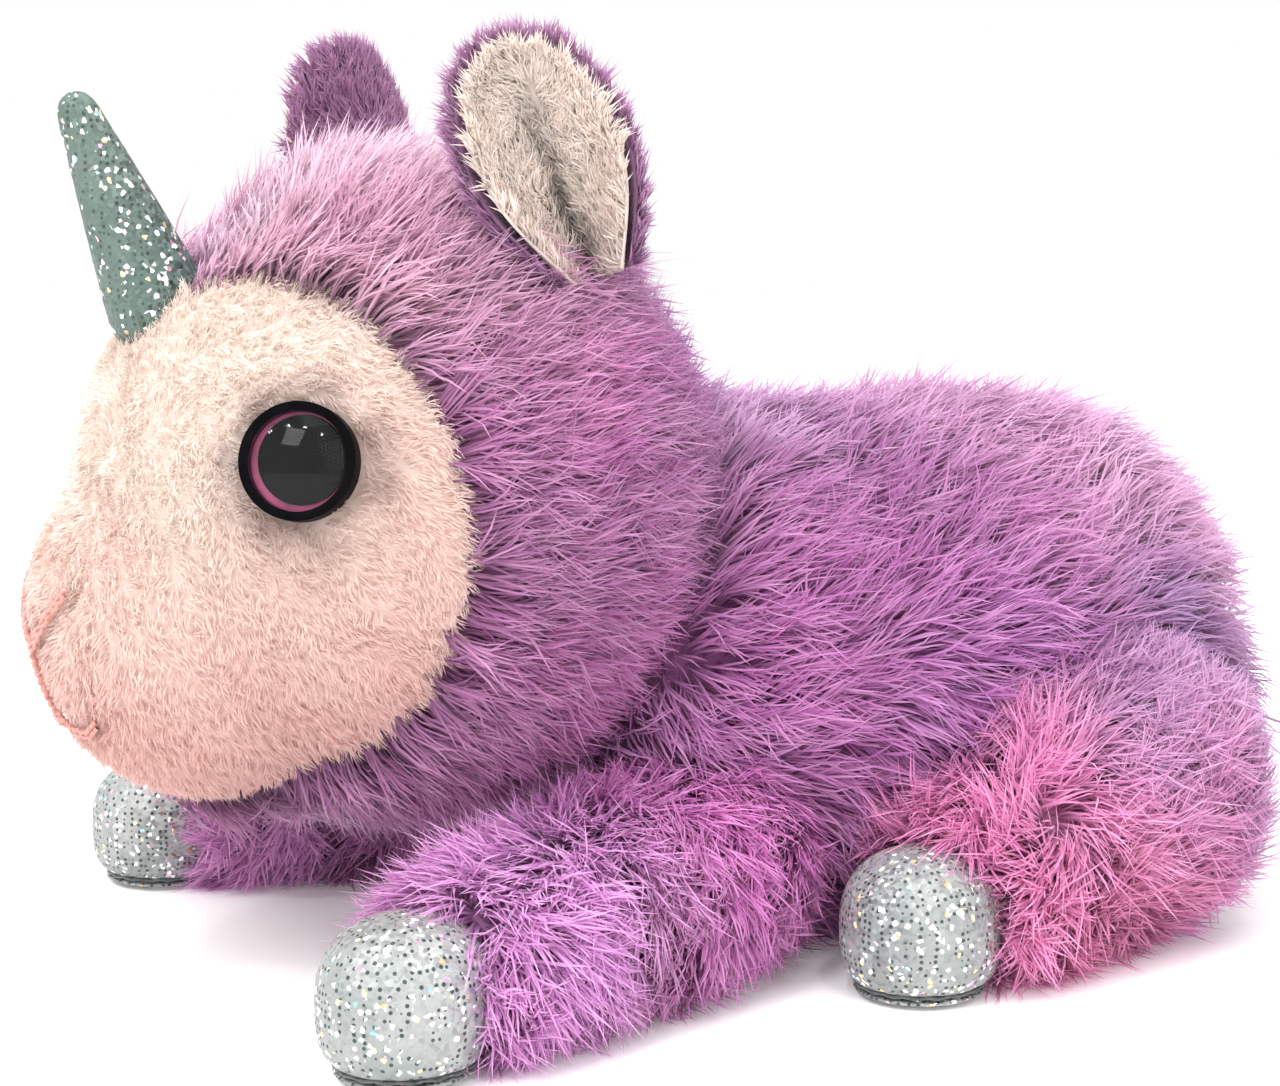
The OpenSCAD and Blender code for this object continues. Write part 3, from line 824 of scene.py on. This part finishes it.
def face_paint(p):
    v = p - HEAD
    low = np.clip((72 - p[:, 2] + smooth_noise(p, 18, 5) * 4) / 34, 0, 1)[:, None]
    out = np.array(colour("#FDEEE4")) * (1 - low) + np.array(colour("#F5CFC7")) * low
    side = np.clip((np.abs(p[:, 0]) - 30) / 14, 0, 1)[:, None] * 0.5
    out = out * (1 - side) + np.array(colour("#F8CFC6")) * side
    for s in (1, -1):
        eye = HEAD + turned(EYE_AZ * s, EYE_EL) * 43
        d = np.linalg.norm(p - eye, axis=1)
        ring = np.exp(-((d - 8.5) / 3.2) ** 2) * (0.42 + 0.25 * smooth_noise(p, 7, 8))
        ring = np.clip(ring, 0, 0.8)[:, None]
        out = out * (1 - ring) + np.array(colour("#8A6256")) * ring
    for arcs in SEAMS.values():
        for arc in arcs:
            knots = np.array([MUZZLE + turned(a, e) * 27.5 for a, e in arc])
            d = np.full(len(p), 99.0)
            for a, b in zip(knots[:-1], knots[1:]):
                d = np.minimum(d, np.linalg.norm(p - along(p, a, b)[1], axis=1))
            # Painted shade: a darker rose line along each nose and mouth stitch, where the cloth dips.
            line = (0.62 * np.exp(-(d / 1.5) ** 2))[:, None]
            out = out * (1 - line) + np.array(colour("#C98878")) * line
    return out


def face_comb(p, n):
    way = (p - HEAD) * [1.0, 0.0, 1.0] * 0.03
    way[:, 2] -= 0.6
    way[:, 1] += 0.5
    way += drift(p, 9, 91) * 0.5
    return way


def off_eyes(p):
    keep = np.ones(len(p))
    for s in (1, -1):
        keep[np.linalg.norm(p - (HEAD + turned(EYE_AZ * s, EYE_EL) * 43.3), axis=1) < 7.4] = 0
    return keep


p = points(head)
n = facing(head)
sink = np.zeros(len(p))
for arcs in SEAMS.values():
    for arc in arcs:
        knots = np.array([MUZZLE + turned(a, e) * 26.4 for a, e in arc])
        for a, b in zip(knots[:-1], knots[1:]):
            d = np.linalg.norm(p - along(p, a, b)[1], axis=1)
            sink = np.maximum(sink, 1.3 * np.exp(-(d / 1.8) ** 2))
for side in (1, -1):
    d = np.linalg.norm(p - (HEAD + turned(EYE_AZ * side, EYE_EL) * 43), axis=1)
    sink -= 1.9 * np.exp(-((d - 9.2) / 3.4) ** 2)
put_points(head, p - n * sink[:, None])
face = grow(head, "face_pile", fibres(60000), 10, even(2.2), 0.18,
            even(40), face_comb, face_paint, clump=10, pull=0.3, fine=2,
            mask=off_eyes)
face.data.materials.append(short_pile)
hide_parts("face_cover")
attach(face, "head")

# Nose and mouth: tone-on-tone embroidery stitched through the face, a V for the nose, a
# short line below it and two smiling arcs. The stitches pull the cloth in a little.
rose_thread = thread_material("rose sewing thread", "#D79A90", "#B06F66")


def on_muzzle(az, el, out=0.0):
    return MUZZLE + turned(az, el) * (26.4 + out)


for name, arcs in SEAMS.items():
    strands = []
    for arc in arcs:
        knots = np.array(arc, float)
        t = np.linspace(0, len(knots) - 1, 26)
        az = np.interp(t, range(len(knots)), knots[:, 0])
        el = np.interp(t, range(len(knots)), knots[:, 1])
        for shift in (-0.45, 0.45):
            path = [on_muzzle(a, e + shift * 2, 0.55 + 0.2 * math.sin(i * 1.9 + shift))
                    for i, (a, e) in enumerate(zip(az, el))]
            strands.append(thread(name, path, 0.34))
    ob = as_one(strands)
    ob.name = ob.data.name = f"{name}_thread"
    ob.data.materials.clear()
    ob.data.materials.append(rose_thread)
    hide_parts(name)
    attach(ob, "head")

# Each eye is a moulded safety eye: a black rim and pupil, a pink foil ring and a clear
# dome, its post pushed through the face and held inside by a washer.
# The dome's own radius, and how far its centre is from the middle of the head, in mm.
DOME_R = 10
DOME_DEPTH = 38.2


def plastic(name, code, dark, rough, metal=0.0, shine=0.5):
    m, t = material(name)
    where = add(t, "ShaderNodeTexCoord").outputs["Object"]
    speck = add(t, "ShaderNodeTexNoise", {"Vector": where}, _Scale=300.0, _Detail=3.0)
    tone = ramp(t, speck.outputs["Fac"], (0.3, dark), (0.7, code))
    worn = add(t, "ShaderNodeMapRange", {0: speck.outputs["Fac"]}, _3=rough * 0.8, _4=rough * 1.25)
    s = add(t, "ShaderNodeBsdfPrincipled",
            {"Base Color": tone.outputs["Color"], "Roughness": worn.outputs[0]},
            _Metallic=metal)
    s.inputs["Specular IOR Level"].default_value = shine
    add(t, "ShaderNodeOutputMaterial", {0: s.outputs[0]})
    return m


black_plastic = plastic("black moulded plastic", "#0B0B0D", "#040405", 0.4, shine=0.03)
pink_foil = plastic("pink foil behind plastic", "#C4567F", "#8A3A62", 0.30, metal=0.35)
white_plastic = plastic("white moulded plastic", "#EDEBE4", "#DAD7CE", 0.35)

clear, t = material("clear moulded plastic")
tell = add(t, "ShaderNodeLayerWeight", _Blend=0.18)
look = add(t, "ShaderNodeTexCoord").outputs["Object"]
haze = add(t, "ShaderNodeTexNoise", {"Vector": look}, _Scale=200.0)
gloss = add(t, "ShaderNodeMapRange", {0: haze.outputs["Fac"]}, _3=0.06, _4=0.09)
glint = add(t, "ShaderNodeBsdfGlossy", {"Roughness": gloss.outputs[0]})
see = add(t, "ShaderNodeBsdfTransparent", _Color=(0.96, 0.97, 0.97, 1))
amount = add(t, "ShaderNodeMapRange", {0: tell.outputs["Fresnel"]}, _3=0.011, _4=0.30)
mixed = add(t, "ShaderNodeMixShader", {0: amount.outputs[0], 1: see.outputs[0], 2: glint.outputs[0]})
add(t, "ShaderNodeOutputMaterial", {0: mixed.outputs[0]})

for side, word in ((1, "left"), (-1, "right")):
    for part, look in (("rim", black_plastic), ("pupil", black_plastic), ("iris", pink_foil),
                       ("washer", white_plastic)):
        node = nodes[f"eye_{word}_{part}"]
        node.data.materials.clear()
        node.data.materials.append(look)
    out = turned(EYE_AZ * side, EYE_EL)
    dome = ball((0, 0, 0), (DOME_R,) * 3, rings=64)
    bm = bmesh.new()
    bm.from_mesh(dome.data)
    cut = bmesh.ops.bisect_plane(bm, geom=bm.verts[:] + bm.edges[:] + bm.faces[:],
                                 plane_co=(0, 0, 7.77 * MM), plane_no=(0, 0, 1), clear_inner=True)
    rim = [e for e in cut["geom_cut"] if isinstance(e, bmesh.types.BMEdge)]
    low = bmesh.ops.extrude_edge_only(bm, edges=rim)["geom"]
    ring = [v for v in low if isinstance(v, bmesh.types.BMVert)]
    bmesh.ops.translate(bm, verts=ring, vec=(0, 0, -0.6 * MM))
    bmesh.ops.contextual_create(bm, geom=[e for e in low if isinstance(e, bmesh.types.BMEdge)])
    bmesh.ops.recalc_face_normals(bm, faces=bm.faces[:])
    bm.to_mesh(dome.data)
    bm.free()
    frame3 = (Matrix.Rotation(math.radians(EYE_AZ * side), 4, "Z")
              @ Matrix.Rotation(math.radians(90 - EYE_EL), 4, "X"))
    dome.matrix_world = Matrix.Translation([c * MM for c in HEAD + out * DOME_DEPTH]) @ frame3
    apply_all(dome)
    alone(dome)
    bpy.ops.object.shade_smooth_by_angle(angle=math.radians(40))
    bpy.ops.object.convert(target="MESH")
    dome.name = dome.data.name = f"eye_{word}_dome"
    dome.data.materials.append(clear)
    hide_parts(f"eye_{word}_lens")
    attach(dome, "head")

# The horn is a cone of grey-green glitter cloth with a rounded end, stuffed firm, and its
# ball end is sewn down into the brow.
HORN_WAY = np.array([0, -math.sin(math.radians(22)), math.cos(math.radians(22))])
cone = []
for i in range(12):
    t = i / 11
    r = 7.3 + (3.2 - 7.3) * t - 0.15
    cone.append(ball(HORN + HORN_WAY * 27.8 * t, (r, r, r), rings=20))
horn = melt("horn_cloth", cone, 1.0, 4)
puff(horn, 1.0, 4.0, 0.45, lambda q: (q - HORN) @ HORN_WAY < -3)
horn.data.materials.append(horn_cloth)
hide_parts("horn_cover")
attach(horn, "horn")

# Each ear is a petal of short fur with a cream lining, folded down its middle and gathered
# at the foot, so the foot is a narrow tube and the top opens out.
EAR = np.array([31.12, -35.10, 97.47])
EAR_TURN = np.array(Matrix.Rotation(math.radians(20), 3, "X") @ Matrix.Rotation(math.radians(75), 3, "Z"))
TALL = {1: 34.0, -1: 37.0}
EAR_CLOTH = 0.4


def petal(name, side, out, trim):
    """One layer of the ear. out is how far behind the lining's face it lies, in mm."""
    rows, cols = 40, 36
    pts = []
    for i in range(rows + 1):
        s = i / rows
        h = (TALL[side] - trim) * s
        width = (13.6 - trim) * (0.62 + 0.38 * math.sin(math.pi * min(s, 0.5)))
        width *= max(0.0, 1 - s ** 3.0) ** 0.5
        curl = 2.1 - 1.45 * min(1, s * 1.2) ** 0.8
        r = max(width, 0.05) / curl
        for j in range(cols + 1):
            u = 2 * j / cols - 1
            ridge = 3.0 * math.exp(-(u / 0.15) ** 2) * min(1, 4 * s) * max(0, 1 - s * 1.15)
            x = (r + out) * math.sin(u * curl) * (0.9 if u > 0 else 1.04) - 1.6 * s
            y = 1.0 - r + (r + out) * math.cos(u * curl) + ridge
            pts.append([x, y, h + 1.4 * u * u * (1 - s)])
    q = np.array(pts) @ EAR_TURN.T + EAR
    q[:, 0] *= side
    faces = []
    for i in range(rows):
        for j in range(cols):
            k = i * (cols + 1) + j
            f = (k, k + 1, k + cols + 2, k + cols + 1)
            faces.append(f[::-1] if (side > 0) == (out > 0) else f)
    me = bpy.data.meshes.new(name)
    me.from_pydata([tuple(v) for v in q * MM], [], faces)
    me.update()
    ob = bpy.data.objects.new(name, me)
    bpy.context.collection.objects.link(ob)
    bm = bmesh.new()
    bm.from_mesh(me)
    bmesh.ops.remove_doubles(bm, verts=bm.verts[:], dist=0.00012)
    bm.to_mesh(me)
    bm.free()
    count = len(me.polygons)
    m = ob.modifiers.new("thick", "SOLIDIFY")
    m.thickness, m.offset = EAR_CLOTH * MM, -1
    apply_smooth(ob)
    return ob, count


def ear_local(p, side):
    return (p * [side, 1, 1] - EAR) @ EAR_TURN


for side, word in ((1, "left"), (-1, "right")):
    back, count = petal(f"ear_{word}_skin", side, 1.5, 0.5)

    def ear_comb(p, n, side=side):
        q = ear_local(p, side)
        way = np.stack([q[:, 0] * 0.05, np.zeros(len(p)), np.ones(len(p))], 1) @ EAR_TURN.T
        way[:, 0] *= side
        return way + drift(p, 9, 131) * 0.3

    def ear_back_paint(p):
        return dye(p, [((31 * side, -30, 122), 16, "#C98ABC"), ((31 * side, -36, 100), 14, "#A5649F")],
                   "#B877AE", 15)

    fur = grow(back, f"ear_{word}_back_fur", fibres(15000), 31, even(3.6), 0.30,
               even(62), ear_comb, ear_back_paint, fine=2, only=count)
    fur.data.materials.append(long_pile)
    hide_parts(f"ear_{word}_back")
    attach(fur, f"ear_{word}")
    lining, count = petal(f"ear_{word}_inner", side, -0.15, 1.0)

    def lining_comb(p, n, side=side):
        q = ear_local(p, side)
        way = np.stack([np.sign(q[:, 0]) * (0.35 + 0.05 * np.abs(q[:, 0])),
                        np.zeros(len(p)), 0.75 + 0 * q[:, 0]], 1) @ EAR_TURN.T
        way[:, 0] *= side
        return way + drift(p, 8, 141) * 0.4

    def lining_paint(p, side=side):
        q = ear_local(p, side)
        # Painted shade: dark brown in the crease down the middle of the lining, strongest at the foot.
        fold_shade = np.exp(-((q[:, 0] + 1.6 * q[:, 2] / 34) / 1.5) ** 2) * np.clip(1.3 - q[:, 2] / 24, 0, 1)
        fold_shade = np.clip(fold_shade * 0.95, 0, 1)[:, None]
        pale = np.array(colour("#FFF3EA")) * (1 + 0.06 * smooth_noise(p, 7, 16))[:, None]
        return pale * (1 - fold_shade) + np.array(colour("#5F4936")) * fold_shade

    fur = grow(lining, f"ear_{word}_lining_pile", fibres(15000), 33, even(3.2), 0.28,
               even(50), lining_comb, lining_paint, fine=2, only=count)
    fur.data.materials.append(short_pile)
    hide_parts(f"ear_{word}_lining")
    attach(fur, f"ear_{word}")

# The tail is a short stuffed tassel of fur sewn high on the rump, hanging down.
TAIL = np.array([0, 89.2, 50.0])
TAIL_WAY = np.array([0, 0.276, -0.961])
parts = []
for i in range(7):
    t = i / 6
    r = 4.6 + (8 - 4.6) * t - 1.4
    parts.append(ball(TAIL + TAIL_WAY * 30 * t, (r, r, r), rings=16))
skin = melt("tail_skin", parts, 1.6, 4)
fur = grow(skin, "tail_fur", fibres(9000), 41, even(9.5), 0.42,
           even(58), lambda p, n: np.tile(TAIL_WAY, (len(p), 1)),
           lambda p: dye(p, [((0, 96, 44), 14, "#DBA9D2"), ((0, 98, 22), 12, "#CC8DC4")],
                         "#C58ABC", 17))
fur.data.materials.append(long_pile)
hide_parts("tail_cover")
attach(fur, "tail")


# Neck and belly: a ring of the same fur closes the neck between head and chest, and a
# flat fur panel closes the underside. Both are cloth against cloth and are mostly hidden.
def soft_copy(node, voxel, rounds):
    """A softened copy of a frame solid."""
    ob = nodes[node].copy()
    ob.data = nodes[node].data.copy()
    for key in list(ob.keys()):
        del ob[key]
    ob.parent = None
    bpy.context.collection.objects.link(ob)
    ob.hide_set(False)
    ob.hide_render = False
    ob.data.materials.clear()
    return melt(node + "_soft", [ob], voxel, rounds)


def down(p, n):
    return np.tile([0.0, 0.6, -1.0], (len(p), 1)) + n * 0.1


for node, body, count, long in (("neck_cover", "neck", 6000, 5.0), ("belly_panel", "torso", 5000, 3.5)):
    skin = soft_copy(node, 1.1, 3)
    fur = grow(skin, f"{node}_fur", fibres(count), 43, even(long), 0.4,
               even(70), down, lambda p: dye(p, [], "#A868A0", 18), fine=2)
    fur.data.materials.append(long_pile)
    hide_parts(node)
    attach(fur, body)

# Filling: loose white polyester fibre packed into every bag, and in the belly a cotton bag
# of plastic pellets. A row of ladder stitches closes the belly.
fibre, t = material("polyester fibre filling")
where = add(t, "ShaderNodeTexCoord").outputs["Object"]
wisps = add(t, "ShaderNodeTexNoise", {"Vector": where}, _Scale=260.0, _Detail=6.0, _Distortion=2.0)
tone = ramp(t, wisps.outputs["Fac"], (0.25, "#D9D8D4"), (0.7, "#FBFBF9"))
bump = add(t, "ShaderNodeBump", {"Height": wisps.outputs["Fac"]}, _Strength=0.6, _Distance=0.002)
s = add(t, "ShaderNodeBsdfPrincipled", {"Base Color": tone.outputs["Color"], "Normal": bump.outputs[0]},
        _Roughness=0.9, _Sheen_Weight=0.4)
add(t, "ShaderNodeOutputMaterial", {0: s.outputs[0]})

FILLINGS = {"torso_stuffing": "torso", "neck_stuffing": "neck", "head_stuffing": "head",
            "horn_stuffing": "horn", "tail_stuffing": "tail"}
FILLINGS.update({f"{k}_leg_{w}_stuffing": f"{k}_leg_{w}" for k in LEGS for w in ("left", "right")})
for node, body in FILLINGS.items():
    fill = soft_copy(node, 1.2 if node in ("neck_stuffing", "horn_stuffing", "tail_stuffing") else 2.0, 5)
    if "_leg_" in node:
        kind, _, word = node.split("_")[:3]
        a, b, way, r = leg_ends(kind, 1 if word == "left" else -1)
        p = points(fill)
        t, q = along(p, a + way * ROOT_SHIFT[kind], b)
        v = p - q
        d = np.linalg.norm(v, axis=1)
        most = (r - ROOT_SLIM[kind]) * (1 - t) + HOOF_R * t - 4.6
        v *= np.minimum(1, most / np.maximum(d, 1e-6))[:, None]
        p = q + v
        p[:, 2] = np.maximum(p[:, 2], 2.6)
        put_points(fill, p)
    fill.data.materials.append(fibre)
    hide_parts(node)
    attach(fill, body)

cotton, t = material("woven cotton")
where = add(t, "ShaderNodeTexCoord").outputs["Object"]
weave = add(t, "ShaderNodeTexWave", {"Vector": where}, _Scale=500.0, _Distortion=1.5)
tone = ramp(t, weave.outputs["Color"], (0.2, "#CFC8BA"), (0.8, "#EAE5DA"))
s = add(t, "ShaderNodeBsdfPrincipled", {"Base Color": tone.outputs["Color"]}, _Roughness=0.85)
add(t, "ShaderNodeOutputMaterial", {0: s.outputs[0]})
bag = soft_copy("pellet_bag", 0.6, 2)
bag.data.materials.append(cotton)
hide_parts("pellet_bag")
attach(bag, "torso")

beads, t = material("plastic pellets")
where = add(t, "ShaderNodeTexCoord").outputs["Object"]
pellet_cells = add(t, "ShaderNodeTexVoronoi", {"Vector": where}, _Scale=330.0, _Randomness=0.8)
# Painted shade: each pellet is pale in its middle and grey towards its edge and in the gaps.
tone = ramp(t, pellet_cells.outputs["Distance"], (0.1, "#F0F1F4"), (0.7, "#8E9198"))
bump = add(t, "ShaderNodeBump", {"Height": pellet_cells.outputs["Distance"]}, _Strength=0.8,
           _Distance=0.001, invert=True)
s = add(t, "ShaderNodeBsdfPrincipled", {"Base Color": tone.outputs["Color"], "Normal": bump.outputs[0]},
        _Roughness=0.35)
add(t, "ShaderNodeOutputMaterial", {0: s.outputs[0]})
for node, look in (("pellets", beads), ("belly_stitches", dark_thread)):
    nodes[node].data.materials.clear()
    nodes[node].data.materials.append(look)

# A pale studio floor under three soft lamps. The camera stands 360 mm off, to the left and
# a little in front of the toy.
bpy.ops.mesh.primitive_plane_add(size=6, location=(0, 0, 0))
floor = bpy.context.object
floor.name = "floor"
m, t = material("pale studio floor")
s = add(t, "ShaderNodeBsdfPrincipled", _Base_Color=(*colour("#FBFBFA"), 1), _Roughness=0.9,
        _Emission_Color=(1, 1, 1, 1), _Emission_Strength=0.10)
add(t, "ShaderNodeOutputMaterial", {0: s.outputs[0]})
floor.data.materials.append(m)


def lamp(name, place, look, size, watts, tone="#FFFFFF"):
    data = bpy.data.lights.new(name, "AREA")
    data.shape, data.size, data.energy = "SQUARE", size, watts
    data.color = colour(tone)
    ob = bpy.data.objects.new(name, data)
    bpy.context.collection.objects.link(ob)
    ob.location = place
    ob.rotation_euler = (Vector(look) - Vector(place)).to_track_quat("-Z", "Y").to_euler()
    return ob


target = Vector((0, -0.0118, 0.057))
a, e = math.radians(62), math.radians(7.5)
back = Vector((math.sin(a) * math.cos(e), -math.cos(a) * math.cos(e), math.sin(e)))
side_way = Vector((math.cos(a), math.sin(a), 0))
lamp("key", target + back * 0.7 - side_way * 0.45 + Vector((0, 0, 0.75)), target, 0.5, 6.5)
lamp("fill", target + back * 0.8 + side_way * 0.7 + Vector((0, 0, 0.3)), target, 0.9, 2.2)
lamp("top", target + Vector((0, 0.1, 1.0)), target, 0.9, 5)
# Four small square lamps at the near eye's mirror angles. They are weak and hardly show.
eye_out = turned(EYE_AZ, EYE_EL)
across = np.array([math.cos(math.radians(EYE_AZ)), math.sin(math.radians(EYE_AZ)), 0])
up = np.cross(eye_out, across)
for k, (dx, dy) in enumerate(((-0.34, 0.36), (-0.10, 0.43), (0.12, 0.42), (0.33, 0.33))):
    normal = eye_out * math.sqrt(1 - dx * dx - dy * dy) + across * dx + up * dy
    spot = (HEAD + eye_out * DOME_DEPTH + normal * DOME_R) * MM
    to_camera = np.array(target + back * 0.36) - spot
    to_camera /= np.linalg.norm(to_camera)
    ray = 2 * (normal @ to_camera) * normal - to_camera
    lamp(f"glint_{k}", Vector(spot + ray * 0.6), Vector(spot), 0.045, 0.5)
world = bpy.data.worlds.new("studio")
bpy.context.scene.world = world
world.use_nodes = True
world.node_tree.nodes["Background"].inputs[0].default_value = (1, 1, 1, 1)
world.node_tree.nodes["Background"].inputs[1].default_value = 1.0
camera_data = bpy.data.cameras.new("camera")
camera_data.lens, camera_data.sensor_width = 66.4, 36
camera = bpy.data.objects.new("camera", camera_data)
bpy.context.collection.objects.link(camera)
camera.location = target + back * 0.36
camera.rotation_euler = (-back).to_track_quat("-Z", "Y").to_euler()
camera_data.clip_start, camera_data.clip_end = 0.01, 20
bpy.context.scene.camera = camera
bpy.context.scene.view_settings.view_transform = "Standard"
